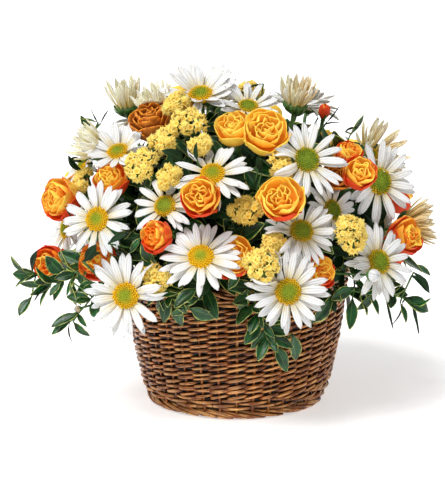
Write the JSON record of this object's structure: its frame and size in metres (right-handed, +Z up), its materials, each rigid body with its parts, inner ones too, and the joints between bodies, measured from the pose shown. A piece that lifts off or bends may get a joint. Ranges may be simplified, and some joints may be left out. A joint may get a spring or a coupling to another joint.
{
  "type": "flower basket arrangement",
  "caption": "Round woven willow basket with a liner and wet foam that holds cut daisies, spray roses, statice and foliage in a full dome.",
  "frame": {"origin": "middle of the basket's underside, on the surface that it stands on", "axes": "+Z up; -Y is the side that the arrangement shows first; +X to the right of it"},
  "size_m": [0.3574, 0.3093, 0.2884],
  "materials": {
    "willow": "satin",
    "liner": "satin",
    "foam": "matte",
    "daisy": "matte",
    "rose": "matte",
    "statice": "matte",
    "foliage": "satin"
  },
  "bodies": {
    "root": {"basket_bottom": "willow", "basket_foot_border": "willow", "basket_rim_border": "willow", "basket_side": "willow", "daisy_back_high_right": "daisy", "daisy_spray_back_high": "daisy", "daisy_spray_back_left": "daisy", "daisy_spray_back_middle": "daisy", "daisy_spray_back_right": "daisy", "daisy_spray_far_right": "daisy", "daisy_spray_high_left": "daisy", "daisy_spray_high_middle": "daisy", "daisy_spray_high_right": "daisy", "daisy_spray_left": "daisy", "daisy_spray_low_left": "daisy", "daisy_spray_low_right": "daisy", "daisy_spray_middle": "daisy", "daisy_spray_right": "daisy", "daisy_spray_right_of_middle": "daisy", "daisy_spray_top": "daisy", "foam": "foam", "liner": "liner", "rose_bud_high_right": "rose", "rose_high_back_left": "rose", "rose_left_of_middle": "rose", "rose_low_middle": "rose", "rose_low_right": "rose", "rose_middle": "rose", "rose_right_of_middle": "rose", "rose_side_left": "rose", "rose_side_right": "rose", "rose_spray_back_left": "rose", "rose_spray_back_right": "rose", "rose_spray_far_right": "rose", "rose_spray_high_left": "rose", "rose_spray_low_left": "rose", "rose_spray_right": "rose", "rose_spray_top": "rose", "sprig_back_high": "foliage", "sprig_back_left": "foliage", "sprig_back_middle": "foliage", "sprig_back_right": "foliage", "sprig_front_left": "foliage", "sprig_front_right": "foliage", "sprig_high_left": "foliage", "sprig_high_right": "foliage", "sprig_left_long": "foliage", "sprig_left_low": "foliage", "sprig_low_right": "foliage", "sprig_right_long": "foliage", "statice_back": "statice", "statice_far_left": "statice", "statice_high_left": "statice", "statice_left": "statice", "statice_low_left": "statice", "statice_low_middle": "statice", "statice_middle": "statice", "statice_right": "statice"}
  },
  "joints": []
}
